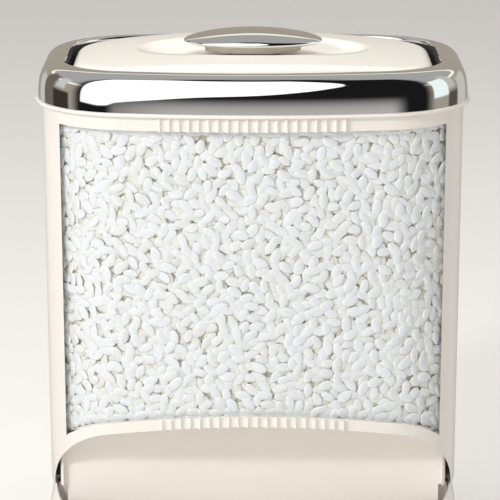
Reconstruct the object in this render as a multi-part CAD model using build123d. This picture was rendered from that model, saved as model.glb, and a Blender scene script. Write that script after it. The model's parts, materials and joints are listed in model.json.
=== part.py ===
from build123d import *
import math
import os

# Rice dispenser with drawer, in millimetres.
# The origin is on the floor below the middle of the body. The front faces -Y and +Z is up.

# Plan of the body: a rounded rectangle with gently bowed front and back
lip_width = 260.0  # over the lip, side to side
lip_depth = 182.0  # over the lip, front to back
corner_radius = 60.0  # of the lip's corners
bow_radius = 440.0  # of the lip's bowed front and back

# Heights
foot_stand = 2.5  # rubber feet below the plinth's edge
base_height = 50.0  # floor to the body's lower edge
body_height = 238.0  # body's lower edge to the lip's top
lip_z = base_height + body_height

# Body shell
wall = 2.6
draft = 0.45  # degrees that each side leans in towards the bottom
lip_thickness = 2.0
lip_overhang = 3.9
lip_round = 0.7
body_foot_round = 1.7  # rounded lower edge of the body
ledge_width = 3.2  # ledge inside the shell that carries the hopper floor
ledge_thickness = 2.0
ledge_front_y = -30.0  # it runs along the sides from here
ledge_back_y = 35.0  # to here
ledge_half = 41.0  # and over the middle of the back

# Arched mouth: a wide crown arc with a smaller arc at each side, seen from the front
arch_side = 9.0  # lip's side to the mouth's foot
arch_rise = 49.1  # above the body's lower edge
arch_crown_radius = 530.0
arch_side_radius = 41.0

# Window
window_side_top = 16.0  # lip's side to the window's top corner
window_side_bottom = 17.5  # and to its bottom corner
window_drop = 10.4  # lip's top to the window's top edge
arch_band = 6.5  # band left between the window and the arch
window_gap = 0.2  # pane's clearance in the window
pane_recess = 0.3
pane_flange = 3.2  # pane's rim behind the wall
pane_flange_thickness = 1.5
frame_overlap = 4.6
frame_thickness = 1.5
frame_reveal = 0.6  # frame stands back from the window's edge

# Flutes above and below the window
flute_count = 17
flute_pitch = 5.7
flute_radius = 3.6
flute_depth = 1.1
flute_overrun = 4.0  # the flutes run on this far past their bands

# Hopper and outlet
hopper_wall = 2.0
part_gap = 0.3  # between pieces that sit beside each other
hopper_rim_z = base_height + 58.0
hopper_rim_height = 6.0
frame_room = 6.0  # the rim stops this far behind the recess, clear of the pane's frame
outlet_side = 38.0  # lip's side to the outlet
outlet_back_y = -10.0
throat_z = 35.5  # lower edge of the outlet
funnel_z = 41.0  # where the outlet's straight walls turn into slopes

# Recess behind the arch
recess_back_y = -42.0  # rice side of its back wall
recess_wall = 2.0
recess_side = 12.5  # lip's side to the end of the recess
recess_lift = 4.5  # its roof above the arch
recess_cove = 38.0  # radius between its roof and its back wall
recess_corner = 3.0
recess_side_top = 22.0  # its sides reach out to the shell up to here above the body's lower edge

# Flared base
base_pinch = 1.6  # base's top edge stands in from the body's lower edge
flare_angle = 9.5
flare_height = 33.0
base_wall = 2.4
base_foot_round = 1.2
shelf_width = 9.0
shelf_thickness = 2.5
plate_thickness = 2.5
plate_raise = 0.6  # plate's underside above the plinth's lower edge
rib_count = 7
rib_pitch = 30.0
rib_thickness = 1.8
rib_height = 5.0
rib_front_y = 4.0
rib_back_y = 62.0
foot_radius = 8.0
foot_round = 0.8
foot_x = 96.0
foot_front_y = -52.0
foot_back_y = 54.0

# Drawer
drawer_travel = 55.0
parting_y = -24.0  # plinth's side walls start behind this line
parting_gap = 0.6
scoop_depth = 24.0  # dip in the drawer front's top edge
scoop_corner = 12.0  # radius at the ends of the dip
scoop_side = 10.0  # lip's side to the end of the dip
cheek_play = 1.7  # cheeks of the drawer front beside the runners
cheek_back_y = -34.0
cheek_low = 17.6
drawer_clearance = 1.5  # above the base plate
tray_side = 24.0  # lip's side to the tray
tray_wall = 2.0
tray_height = 22.0
tray_back_y = -6.0
tray_corner = 6.0
tray_notch_back_y = -48.0  # the tray's front edge is cut down as far back as this
shutter_thickness = 2.0
shutter_gap = 0.6
shutter_back_y = 50.0
tongue_width = 4.0
tongue_height = 3.4
tongue_z = 20.0
runner_wall = 2.0
runner_front_y = -44.0
runner_back_y = 51.0
runner_play = 1.0  # tongues start this far behind the runners' front ends
front_raise = 1.0  # drawer front's lower edge above the plinth's
tray_drop = 1.0  # tray's front edge below the scooped edge
tray_floor_round = 1.5
arm_z = 12.0
stop_thickness = 4.0
stop_play = 1.0  # around the stops and hooks
hook_grip = 2.0  # hooks reach this far above the arms' lower edge

# Lid
ring_height = 20.9
ring_inset = 1.5
ring_band = 12.0  # outer face to the inner edge of the ring
ring_lean = 8.0  # its rounded outer wall comes in this far up to the flat top
ring_fullness = 0.71  # how square the outer wall's curve is
ring_inner_round = 2.0
ring_wall = 2.4
panel_gap = 3.8  # channel between the ring and the domed panel
panel_top = 28.5  # above the lip
panel_crown_radius = 900.0
panel_edge_round = 6.0
panel_wall = 2.4
panel_foot = 7.0
dish_half_length = 69.0
dish_half_width = 39.0
dish_depth = 5.6
dish_ball_height = 16.0
cover_thickness = 2.2
cover_raise = 1.8
screw_land = 0.8  # the knob's screws sit this far below the panel's underside
skirt_depth = 5.4
skirt_wall = 2.0
seal_height = 3.0
seal_depth = 1.2  # groove in the skirt
seal_drop = 4.7
seal_play = 0.1
mouth_gap = 1.2

# Knob
neck_half_length = 28.5
neck_half_width = 15.5
neck_height = 5.9
neck_flare = 1.5
neck_play = 0.2
knob_half_length = 42.0
knob_half_width = 25.0
knob_seat_half_length = 31.0  # flat seat under the knob
knob_under = 1.4  # seat to the knob's widest level
knob_dome = 7.4  # widest level to the top
knob_under_fullness = 0.55
knob_edge_fullness = 0.2  # the top's curve leaves the widest level early
knob_top_fullness = 0.64  # and reaches the middle flat

# Screws
screw_radius = 1.45
pilot_gap = 0.05
head_radius = 3.0
head_height = 1.9
head_round = 0.8
boss_radius = 4.0
boss_reach = 30.0  # the drawer's bosses, before they are trimmed
boss_cap = 1.0  # closed end of a boss
pilot_spare = 1.0  # pilot hole beyond the screw's grip
shell_boss_radius = 5.5
runner_boss_radius = 3.4
screw_grip = 10.0
drawer_screw_length = 5.5
knob_screw_length = 12.0


# Values that follow from the sizes above

lip_half = lip_width / 2
arch_half_width = lip_half - arch_side
window_half_top = lip_half - window_side_top
window_half_bottom = lip_half - window_side_bottom
outlet_half_width = lip_half - outlet_side
recess_half_width = lip_half - recess_side
scoop_half_width = lip_half - scoop_side
tray_half_width = lip_half - tray_side
corner_x = lip_half - corner_radius
bow_centre_y = bow_radius - lip_depth / 2
bow_turn = math.asin(corner_x / (bow_radius - corner_radius))
corner_y = (bow_radius - corner_radius) * math.cos(bow_turn) - bow_centre_y
lean = math.tan(math.radians(draft))
inset_lip = lip_overhang
inset_body_foot = lip_overhang + body_height * lean
inset_base = inset_body_foot + base_pinch
flare_lean = math.tan(math.radians(flare_angle))
flare_z = base_height - flare_height
inset_foot = inset_base - flare_height * flare_lean
plate_z = foot_stand + plate_raise
plate_top = plate_z + plate_thickness
tray_z = plate_top + drawer_clearance
shutter_z = throat_z - shutter_gap - shutter_thickness
frame_depth = wall + pane_flange_thickness + frame_thickness + 2 * part_gap
ledge_z = hopper_rim_z - hopper_wall
tray_inset = inset_base - (base_height - tray_z - tray_height) * flare_lean + base_wall + part_gap
cover_top = lip_z + cover_raise + cover_thickness
panel_inset = ring_inset + ring_band + panel_gap
skirt_inset = inset_lip + wall + mouth_gap
dish_z = lip_z + panel_top - dish_depth
knob_z = dish_z + neck_height
knob_seat_z = dish_z - panel_wall - screw_land
pilot_depth = screw_grip + pilot_spare
clear = 500.0  # longer than the whole object, for cutting shapes


def body_inset(z):
    """Inset of the body's outer face from the lip's plan at height z."""
    return inset_lip + (lip_z - z) * lean


def outline_edges(inset):
    """Edges round the lip's plan, moved in by inset. Every arc keeps its centre."""
    corner = corner_radius - inset
    front_y = -lip_depth / 2 + inset
    side_x = lip_half - inset
    turn_x = corner_x + corner * math.sin(bow_turn)
    turn_y = corner_y + corner * math.cos(bow_turn)
    middle = (math.pi / 2 + bow_turn) / 2
    middle_x = corner_x + corner * math.sin(middle)
    middle_y = corner_y + corner * math.cos(middle)
    return [
        ThreePointArc((-turn_x, -turn_y), (0, front_y), (turn_x, -turn_y)),
        ThreePointArc((turn_x, -turn_y), (middle_x, -middle_y), (side_x, -corner_y)),
        Line((side_x, -corner_y), (side_x, corner_y)),
        ThreePointArc((side_x, corner_y), (middle_x, middle_y), (turn_x, turn_y)),
        ThreePointArc((turn_x, turn_y), (0, -front_y), (-turn_x, turn_y)),
        ThreePointArc((-turn_x, turn_y), (-middle_x, middle_y), (-side_x, corner_y)),
        Line((-side_x, corner_y), (-side_x, -corner_y)),
        ThreePointArc((-side_x, -corner_y), (-middle_x, -middle_y), (-turn_x, -turn_y)),
    ]


def outline(inset):
    """Plan of the lip, moved in by inset."""
    return make_face(outline_edges(inset))


def slab(inset, low, high):
    """Upright block over the plan."""
    return extrude(Pos(0, 0, low) * outline(inset), high - low)


def leaning(inset_low, inset_high, low, high):
    """Block over the plan whose sides lean evenly from one inset to the other."""
    sections = [Pos(0, 0, low) * outline(inset_low), Pos(0, 0, high) * outline(inset_high)]
    return loft(sections, ruled=True)


def body_block(depth, low, high):
    """Block inside the body, a given depth behind its outer face."""
    return leaning(body_inset(low) + depth, body_inset(high) + depth, low, high)


def block(x0, x1, y0, y1, z0, z1):
    """Box between two corners."""
    return Pos((x0 + x1) / 2, (y0 + y1) / 2, (z0 + z1) / 2) * Box(x1 - x0, y1 - y0, z1 - z0)


def post(x, y, low, high, radius):
    """Round post standing on the height low."""
    return extrude(Pos(x, y, low) * Circle(radius), high - low)


def arch_face(grow, floor):
    """Front view of the arch, grown outwards, down to the height floor."""
    crown_z = base_height + arch_rise - arch_crown_radius
    side_x = arch_half_width - arch_side_radius
    reach = arch_crown_radius - arch_side_radius
    turn = math.asin(side_x / reach)
    side_z = crown_z + reach * math.cos(turn)
    crown = arch_crown_radius + grow
    side = arch_side_radius + grow
    turn_x = crown * math.sin(turn)
    turn_z = crown_z + crown * math.cos(turn)
    middle = (math.pi / 2 + turn) / 2
    middle_x = side_x + side * math.sin(middle)
    middle_z = side_z + side * math.cos(middle)
    edge_x = side_x + side
    edges = [
        Line((-edge_x, floor), (edge_x, floor)),
        Line((edge_x, floor), (edge_x, side_z)),
        ThreePointArc((edge_x, side_z), (middle_x, middle_z), (turn_x, turn_z)),
        ThreePointArc((turn_x, turn_z), (0, crown_z + crown), (-turn_x, turn_z)),
        ThreePointArc((-turn_x, turn_z), (-middle_x, middle_z), (-edge_x, side_z)),
        Line((-edge_x, side_z), (-edge_x, floor)),
    ]
    return make_face(edges)


def window_face(grow):
    """Front view of the window, grown outwards."""
    top = lip_z - window_drop + grow
    arch = arch_face(arch_band - grow, 0)
    low = base_height
    sides = make_face(
        Polyline(
            (-window_half_bottom - grow, low),
            (window_half_bottom + grow, low),
            (window_half_top + grow, top),
            (-window_half_top - grow, top),
            close=True,
        )
    )
    return sides - arch


def front_cut(face):
    """Pushes a front view through the front half of the body."""
    return extrude(Plane.XZ * face, lip_depth)


def rounded(start, corner, end, start_fullness, end_fullness):
    """Curve from start to end that leaves and arrives along the two sides of their corner."""
    start, corner, end = Vector(start), Vector(corner), Vector(end)
    leaving = start + (corner - start) * start_fullness
    arriving = end + (corner - end) * end_fullness
    return Bezier(start, leaving, arriving, end)


def front_y_at(x, inset):
    """Where the bowed front lies at a sideways place."""
    return bow_centre_y - math.sqrt((bow_radius - inset) ** 2 - x**2)


def screw(length):
    """Pan-head screw that points up, with the head's seat at its origin."""
    shank = extrude(Circle(screw_radius), length)
    head = extrude(Circle(head_radius), -head_height)
    head = fillet(head.edges().sort_by(Axis.Z)[0], head_round)
    return shank + head


def screws_up(places, seat_z, length):
    """Group of screws that point up, with their heads' seats at one height."""
    return Compound(children=[Pos(x, y, seat_z) * screw(length) for x, y in places])


def pilot(x, y, low, high):
    """Hole that a screw's thread bites in."""
    return post(x, y, low, high, screw_radius + pilot_gap)


def pairs(x, y):
    """Left and right places at one depth."""
    return [(-x, y), (x, y)]


# Places of the fasteners

weld = 0.9  # how far a boss runs into the wall beside it
shell_boss_x = lip_half - inset_base - base_wall - head_radius - 2 * part_gap
shell_boss_places = pairs(shell_boss_x, -12.0) + pairs(shell_boss_x, 20.0)
plinth_boss_x = lip_half - inset_foot - base_wall - boss_radius + weld
plinth_boss_places = pairs(plinth_boss_x, -16.0) + pairs(plinth_boss_x, 22.0)
cover_boss_places = pairs(82.0, -45.0) + pairs(82.0, 45.0)
runner_boss_x = tray_half_width + part_gap + tongue_width + runner_wall + runner_boss_radius - weld
runner_boss_places = pairs(runner_boss_x, -34.0) + pairs(runner_boss_x, 40.0)
knob_screw_places = pairs(14.0, 0.0)
cheek_x = tray_half_width + part_gap + tongue_width + runner_wall + cheek_play
drawer_screw_x = (-54.0, -18.0, 18.0, 54.0)
drawer_screw_z = tray_z + tray_wall + boss_radius + boss_cap
drawer_seat = 0.5
shutter_screw_x = (-60.0, 0.0, 60.0)
shutter_screw_z = tray_z + tray_height / 2


# Housing


def make_body_shell():
    """Outer moulding with lip, window, flutes, arched mouth and a ledge for the hopper."""
    under_lip = lip_z - lip_thickness
    outer = body_block(0, base_height, under_lip)
    foot_edges = outer.edges().group_by(Axis.Z)[0]
    outer = fillet(foot_edges, body_foot_round)
    lip = fillet(slab(0, under_lip, lip_z).edges().filter_by(Plane.XY), lip_round)
    hollow = body_block(wall, base_height, lip_z)
    ledge = body_block(wall, ledge_z - ledge_thickness, ledge_z)
    ledge = ledge - body_block(wall + ledge_width, ledge_z - ledge_thickness, ledge_z)
    ledge_sides = block(-clear, clear, ledge_front_y, ledge_back_y, 0, clear)
    ledge = ledge & (ledge_sides + block(-ledge_half, ledge_half, ledge_back_y, clear, 0, clear))
    shell = (outer + lip) - hollow + ledge
    boss_top = base_height + pilot_depth + boss_cap
    for x, y in shell_boss_places:
        shell = shell + post(x, y, base_height, boss_top, shell_boss_radius)
    shell = shell - front_cut(arch_face(0, 0))
    shell = shell - front_cut(window_face(0))
    for x, y in shell_boss_places:
        shell = shell - pilot(x, y, base_height, base_height + pilot_depth)
    crown_z = base_height + arch_rise
    upper_band = (lip_z - window_drop - flute_overrun, under_lip)
    lower_band = (crown_z - flute_overrun, crown_z + arch_band + flute_overrun)
    for low, high in (upper_band, lower_band):
        inset = body_inset((low + high) / 2)
        for place in range(flute_count):
            x = (place - (flute_count - 1) / 2) * flute_pitch
            y = front_y_at(x, inset) + flute_depth - flute_radius
            shell = shell - post(x, y, low, high, flute_radius)
    return shell


def make_window_pane():
    """Clear pane: a plug that fills the window and a flange behind the wall."""
    flange_depth = wall + part_gap
    inside = body_block(flange_depth + pane_flange_thickness, base_height, lip_z)
    plug = body_block(pane_recess, base_height, lip_z) - inside
    plug = plug & front_cut(window_face(-window_gap))
    flange = body_block(flange_depth, base_height, lip_z) - inside
    flange = flange & front_cut(window_face(pane_flange))
    return plug + flange


def make_pane_frame():
    """Frame behind the wall that presses the pane's flange forwards."""
    depth = wall + pane_flange_thickness + 2 * part_gap
    frame = body_block(depth, base_height, lip_z)
    frame = frame - body_block(depth + frame_thickness, base_height, lip_z)
    return frame & front_cut(window_face(frame_overlap) - window_face(frame_reveal))


def hopper_space(grow):
    """Room above the outlet, with every slope moved out by grow."""
    rim_z = hopper_rim_z + hopper_rim_height
    depth = wall + part_gap + hopper_wall - grow
    space = body_block(depth, throat_z, rim_z)
    step_z = hopper_rim_z - grow
    step = ledge_width + hopper_wall
    back_y = outlet_back_y + grow
    back_rim_y = lip_depth / 2 - body_inset(hopper_rim_z) - depth - step
    back_slope = make_face(
        Polyline(
            (back_y, 0),
            (back_y, funnel_z),
            (back_rim_y, step_z),
            (clear, step_z),
            (clear, 0),
            close=True,
        )
    )
    side_x = outlet_half_width + grow
    side_rim_x = lip_half - body_inset(hopper_rim_z) - depth - step
    side_slope = make_face(
        Polyline(
            (side_x, 0),
            (side_x, funnel_z),
            (side_rim_x, step_z),
            (clear, step_z),
            (clear, 0),
            close=True,
        )
    )
    back = extrude(Plane.YZ * back_slope, clear, both=True)
    right = extrude(Plane.XZ * side_slope, clear, both=True)
    return space - back - right - mirror(right, Plane.YZ)


def recess_space(inset):
    """Hollow of the recess behind the arch, with a cove where its roof turns into its back wall."""
    half = recess_half_width - inset
    lift = recess_lift - inset
    top = base_height + arch_rise + lift
    back = recess_back_y - inset
    front = front_cut(arch_face(lift, 0)) & block(-half, half, -clear, back, 0, clear)
    radius = recess_cove - inset
    middle = radius * (1 - math.sqrt(0.5))
    edges = [
        Line((-lip_depth, 0), (-lip_depth, top)),
        Line((-lip_depth, top), (back - radius, top)),
        ThreePointArc((back - radius, top), (back - middle, top - middle), (back, top - radius)),
        Line((back, top - radius), (back, 0)),
        Line((back, 0), (-lip_depth, 0)),
    ]
    cove = extrude(Plane.YZ * make_face(edges), clear, both=True)
    space = front & cove
    corners = space.edges().filter_by(Axis.Z).group_by(Axis.Y)[-1]
    return fillet(corners, recess_corner - inset)


def make_chute_panel():
    """Back wall, sloped roof and side returns of the recess behind the arch."""
    solid = recess_space(0) - recess_space(recess_wall)
    seam_z = base_height + parting_gap
    room = body_block(frame_depth, throat_z, hopper_rim_z)
    room = room + body_block(wall + part_gap, seam_z, base_height + recess_side_top)
    beside = block(cheek_x - parting_gap, clear, -clear, clear, 0, seam_z)
    return solid & (room - beside - mirror(beside, Plane.YZ))


def make_hopper_floor():
    """Funnel that leads the rice to the outlet. Its rim rests on the shell's ledge."""
    floor = hopper_space(hopper_wall) - hopper_space(0)
    floor = floor - block(-clear, clear, -clear, recess_back_y + part_gap, 0, clear)
    side_x = recess_half_width - 2 * recess_wall
    corner = block(side_x, clear, -clear, recess_back_y + frame_room, 0, clear)
    return floor - corner - mirror(corner, Plane.YZ)


def make_base_plinth():
    """Fixed flared skirt behind the drawer front, with a shelf under the body."""
    top = base_height
    outer = leaning(inset_foot, inset_base, flare_z, top) + slab(inset_foot, foot_stand, flare_z)
    outer = fillet(outer.edges().group_by(Axis.Z)[0], base_foot_round)
    inner = leaning(inset_foot + base_wall, inset_base + base_wall, flare_z, top)
    inner = inner + slab(inset_foot + base_wall, 0, flare_z)
    shelf = slab(inset_base + base_wall / 2, top - shelf_thickness, top)
    shelf = shelf - slab(inset_base + shelf_width, 0, top)
    plinth = outer - inner + shelf
    for x, y in plinth_boss_places:
        plinth = plinth + post(x, y, plate_top, plate_top + pilot_depth + boss_cap, boss_radius)
        plinth = plinth - pilot(x, y, plate_top, plate_top + pilot_depth)
    for x, y in shell_boss_places:
        plinth = plinth - post(x, y, top - shelf_thickness, top, screw_radius + part_gap)
    return plinth - block(-clear, clear, -clear, parting_y, 0, clear)


def make_base_plate():
    """Flat floor of the base, with stiffening ribs behind the drawer's tray."""
    plate = slab(inset_foot + base_wall + part_gap, plate_z, plate_top)
    for place in range(rib_count):
        x = (place - (rib_count - 1) / 2) * rib_pitch
        left = x - rib_thickness / 2
        rib = block(left, left + rib_thickness, rib_front_y, rib_back_y, plate_z, plate_top + rib_height)
        plate = plate + rib
    for x, y in plinth_boss_places + runner_boss_places:
        plate = plate - post(x, y, 0, plate_top, screw_radius + part_gap)
    return plate


def make_rubber_feet():
    """Four round feet under the base plate."""
    foot = extrude(Circle(foot_radius), plate_z)
    foot = fillet(foot.edges().sort_by(Axis.Z)[0], foot_round)
    places = pairs(foot_x, foot_front_y) + pairs(foot_x, foot_back_y)
    return Compound(children=[Pos(x, y, 0) * foot for x, y in places])


def make_base_screws():
    """Screws from below through the plate into the plinth."""
    return screws_up(plinth_boss_places, plate_z, screw_grip)


def make_shell_screws():
    """Screws from below through the shelf into the body shell."""
    return screws_up(shell_boss_places, base_height - shelf_thickness, screw_grip)


def make_right_runner():
    """Right-hand channel that carries the drawer's tongues, with a stop for its arms."""
    groove_low = tongue_z - part_gap
    groove_high = tongue_z + tongue_height + part_gap
    x0 = tray_half_width + part_gap
    x1 = tray_half_width + tongue_width + part_gap
    x2 = x1 + runner_wall
    length = (runner_front_y, runner_back_y)
    web = block(x1, x2, *length, plate_top, groove_high + runner_wall)
    lower = block(x0, x2, *length, groove_low - runner_wall, groove_low)
    upper = block(x0, x2, *length, groove_high, groove_high + runner_wall)
    stop_y = shutter_back_y - drawer_travel - stop_thickness - part_gap
    stop = block(x0, x2, stop_y - stop_thickness, stop_y, plate_top + stop_play, groove_low)
    runner = web + lower + upper + stop
    for x, y in runner_boss_places[1::2]:
        runner = runner + post(x, y, plate_top, plate_top + screw_grip + boss_cap, runner_boss_radius)
        runner = runner - pilot(x, y, plate_top, plate_top + screw_grip)
    return runner


def make_left_runner():
    return mirror(make_right_runner(), Plane.YZ)


def make_runner_screws():
    """Screws from below through the plate into the runners."""
    return screws_up(runner_boss_places, plate_z, screw_grip)


# Drawer


def scoop_face(drop):
    """Front view of all that lies above the scooped edge, set lower by drop."""
    high = base_height - drop
    side_x = scoop_half_width - scoop_corner
    bottom = (side_x**2 + scoop_depth**2 - scoop_corner**2) / (2 * (scoop_depth - scoop_corner))
    turn = math.asin(side_x / (bottom - scoop_corner))
    join_x = side_x + scoop_corner * math.sin(turn)
    join_z = high - scoop_corner * math.cos(turn)
    middle = (math.pi / 2 + turn) / 2
    middle_x = side_x + scoop_corner * math.sin(middle)
    middle_z = high - scoop_corner * math.cos(middle)
    edges = [
        ThreePointArc((-join_x, join_z), (0, high - scoop_depth), (join_x, join_z)),
        ThreePointArc((join_x, join_z), (middle_x, middle_z), (scoop_half_width, high)),
        Line((scoop_half_width, high), (scoop_half_width, lip_z)),
        Line((scoop_half_width, lip_z), (-scoop_half_width, lip_z)),
        Line((-scoop_half_width, lip_z), (-scoop_half_width, high)),
        ThreePointArc((-scoop_half_width, high), (-middle_x, middle_z), (-join_x, join_z)),
    ]
    return make_face(edges)


def make_drawer_front():
    """Flared front moulding that wraps round both corners, with a scooped top edge and two cheeks."""
    low = foot_stand + front_raise
    outer = leaning(inset_foot, inset_base, flare_z, base_height) + slab(inset_foot, low, flare_z)
    outer = fillet(outer.edges().group_by(Axis.Z)[0], base_foot_round)
    inner = leaning(inset_foot + base_wall, inset_base + base_wall, flare_z, base_height)
    inner = inner + slab(inset_foot + base_wall, 0, flare_z)
    front = outer - inner
    boss_room = inner - slab(tray_inset, 0, base_height)
    for x in drawer_screw_x:
        middle = Pos(x, -lip_depth / 2 + tray_inset, drawer_screw_z)
        boss = middle * Rot(90, 0, 0) * Cylinder(boss_radius, boss_reach)
        front = front + (boss & boss_room)
    for x in drawer_screw_x:
        front = front - screw_hole(x, drawer_screw_z, screw_radius + pilot_gap)
    front = front - block(-clear, clear, parting_y - parting_gap, clear, 0, clear)
    front = front - block(-clear, clear, -clear, clear, base_height - parting_gap, clear)
    front = front - front_cut(scoop_face(0))
    cheek_high = base_height - parting_gap
    cheek = block(cheek_x, lip_half, cheek_back_y - base_wall, cheek_back_y, cheek_low, cheek_high)
    cheek = cheek & (inner + front)
    return front + cheek + mirror(cheek, Plane.YZ)


def screw_hole(x, z, radius):
    """Hole along Y for a screw through the tray's front wall."""
    seat_y = front_y_at(x, tray_inset + tray_wall)
    hole = extrude(Plane.XZ * Pos(x, z, 0) * Circle(radius), drawer_screw_length - seat_y)
    return hole - block(-clear, clear, seat_y + tray_wall, clear, 0, clear)


def make_drawer_tray():
    """Open bin that catches the rice, with tongues at its sides."""
    top = tray_z + tray_height

    def bin_shape(inset, low):
        half = tray_half_width - inset
        room = slab(tray_inset + inset, low, top) & block(-half, half, -clear, tray_back_y - inset, low, top)
        upright = room.edges().filter_by(Axis.Z).group_by(Axis.Y)[-1]
        room = fillet(upright, tray_corner - inset)
        return fillet(room.edges().group_by(Axis.Z)[0], tray_floor_round)

    tray = bin_shape(0, tray_z) - bin_shape(tray_wall, tray_z + tray_wall)
    side = block(
        tray_half_width - tray_wall / 2,
        tray_half_width + tongue_width,
        runner_front_y + runner_play,
        tray_back_y - tray_corner,
        tongue_z,
        tongue_z + tongue_height,
    )
    tray = tray + side + mirror(side, Plane.YZ)
    edge_cut = front_cut(scoop_face(tray_drop))
    tray = tray - (edge_cut & block(-clear, clear, -clear, tray_notch_back_y, 0, clear))
    for x in drawer_screw_x:
        tray = tray - screw_hole(x, drawer_screw_z, screw_radius + part_gap)
    for x in shutter_screw_x:
        tray = tray - back_hole(x, screw_radius + pilot_gap)
    return tray


def back_hole(x, radius):
    """Hole along Y where the shutter plate is screwed to the tray's back wall."""
    return Pos(x, tray_back_y, shutter_screw_z) * Rot(90, 0, 0) * Cylinder(radius, 4 * tray_wall)


def make_drawer_screws():
    """Screws from inside the tray into the drawer front."""
    turned = Rot(90, 0, 0) * screw(drawer_screw_length)
    screws = []
    for x in drawer_screw_x:
        seat_y = front_y_at(x, tray_inset + tray_wall) + drawer_seat
        screws.append(Pos(x, seat_y, drawer_screw_z) * turned)
    return Compound(children=screws)


def make_shutter_plate():
    """Plate behind the tray that closes the outlet as the drawer comes out, on two arms."""
    front_y = tray_back_y
    top = shutter_z + shutter_thickness
    plate = block(-tray_half_width, tray_half_width, front_y, shutter_back_y, shutter_z, top)
    flange_back_y = front_y + shutter_thickness
    flange = block(-tray_half_width, tray_half_width, front_y, flange_back_y, tray_z + tray_wall, top)
    inner_x = tray_half_width - tray_wall
    arm = block(inner_x, tray_half_width, front_y, shutter_back_y, arm_z, top)
    tongue = block(
        inner_x,
        tray_half_width + tongue_width,
        front_y,
        shutter_back_y,
        tongue_z,
        tongue_z + tongue_height,
    )
    hook_x = tray_half_width + tongue_width - stop_play
    hook_y = shutter_back_y - stop_thickness
    hook_z = plate_top + 2 * stop_play
    hook = block(inner_x, hook_x, hook_y, shutter_back_y, hook_z, arm_z + hook_grip)
    side = arm + tongue + hook
    shutter = plate + flange + side + mirror(side, Plane.YZ)
    for x in shutter_screw_x:
        shutter = shutter - back_hole(x, screw_radius + part_gap)
    return shutter


def make_shutter_screws():
    """Screws from behind through the shutter's flange into the tray."""
    turned = Rot(90, 0, 0) * screw(2 * tray_wall)
    seat_y = tray_back_y + shutter_thickness
    return Compound(children=[Pos(x, seat_y, shutter_screw_z) * turned for x in shutter_screw_x])


# Lid


def make_lid_ring():
    """Bright ring with a hollow underside, one section swept round the lip. It rests on the lip."""
    top = ring_height
    under = top - ring_wall
    back_low = cover_top - lip_z
    inside = ring_band - ring_wall
    turn_x = ring_band - ring_inner_round
    turn_z = top - ring_inner_round
    reach = ring_inner_round * math.sqrt(0.5)
    edges = [
        rounded((0, 0), (0, top), (ring_lean, top), ring_fullness, ring_fullness),
        Line((ring_lean, top), (turn_x, top)),
        ThreePointArc((turn_x, top), (turn_x + reach, turn_z + reach), (ring_band, turn_z)),
        Line((ring_band, turn_z), (ring_band, back_low)),
        Line((ring_band, back_low), (inside, back_low)),
        Line((inside, back_low), (inside, under)),
        Line((inside, under), (ring_lean, under)),
        rounded((ring_lean, under), (ring_wall, under), (ring_wall, 0), ring_fullness, ring_fullness),
        Line((ring_wall, 0), (0, 0)),
    ]
    path = Pos(0, 0, lip_z) * Wire(outline_edges(ring_inset))
    inwards = Vector(0, 0, 1).cross(path % 0)
    section = Plane(path @ 0, x_dir=inwards, z_dir=path % 0) * make_face(edges)
    return sweep(section, path)


def dish_bowl(grow):
    """Shallow oval bowl that dents the panel under the knob."""
    height = dish_ball_height - dish_depth
    share = math.sqrt(1 - (height / dish_ball_height) ** 2)
    half_length = dish_half_length / share + grow
    half_width = dish_half_width / share + grow
    ball = scale(Sphere(1), by=(half_length, half_width, dish_ball_height + grow))
    return Pos(0, 0, lip_z + panel_top + height) * ball


def panel_block(inset):
    """Crowned block over the panel's plan, moved in by inset."""
    top = lip_z + panel_top - inset
    block_top = slab(panel_inset + inset, cover_top, top)
    crown = Pos(0, 0, top - panel_crown_radius + inset) * Sphere(panel_crown_radius - inset)
    crowned = block_top & crown
    rim = [edge for edge in crowned.edges() if edge.center().Z > lip_z + panel_foot]
    rim = [edge for edge in rim if abs(edge.bounding_box().size.Z) < panel_foot]
    return fillet(rim, panel_edge_round - inset)


def make_lid_panel():
    """Domed centre of the lid, with bosses underneath and an oval dish on top."""
    hollow = panel_block(panel_wall) - dish_bowl(panel_wall)
    outer = panel_block(0)
    panel = outer - hollow
    for x, y in cover_boss_places:
        panel = panel + (post(x, y, cover_top, lip_z + panel_top, boss_radius) & outer)
    for x, y in knob_screw_places:
        panel = panel + post(x, y, knob_seat_z, dish_z, boss_radius)
    panel = panel - dish_bowl(0)
    for x, y in cover_boss_places:
        panel = panel - pilot(x, y, cover_top, cover_top + screw_grip)
    for x, y in knob_screw_places:
        panel = panel - post(x, y, knob_seat_z - 1, dish_z + 1, screw_radius + part_gap)
    return panel


def make_lid_cover():
    """Flat underside of the lid, with a skirt that enters the body's mouth."""
    low = lip_z + cover_raise
    cover = slab(ring_inset + ring_wall + part_gap, low, cover_top)
    skirt = slab(skirt_inset, lip_z - skirt_depth, low)
    skirt = skirt - slab(skirt_inset + skirt_wall, lip_z - skirt_depth, low)
    seal_low = lip_z - seal_drop
    groove = slab(skirt_inset, seal_low, seal_low + seal_height)
    groove = groove - slab(skirt_inset + seal_depth, seal_low, lip_z)
    cover = cover + skirt - groove
    for x, y in cover_boss_places:
        cover = cover - post(x, y, low, cover_top, screw_radius + part_gap)
    return cover


def make_lid_seal():
    """Soft ring in the skirt's groove, just inside the body's wall."""
    low = lip_z - seal_drop + seal_play
    high = lip_z - seal_drop + seal_height - seal_play
    outside = body_inset(low) + wall + part_gap
    return slab(outside, low, high) - slab(skirt_inset + seal_depth - seal_play, low, high)


def make_lid_screws():
    """Screws from below through the cover into the panel."""
    return screws_up(cover_boss_places, lip_z + cover_raise, screw_grip)


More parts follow.
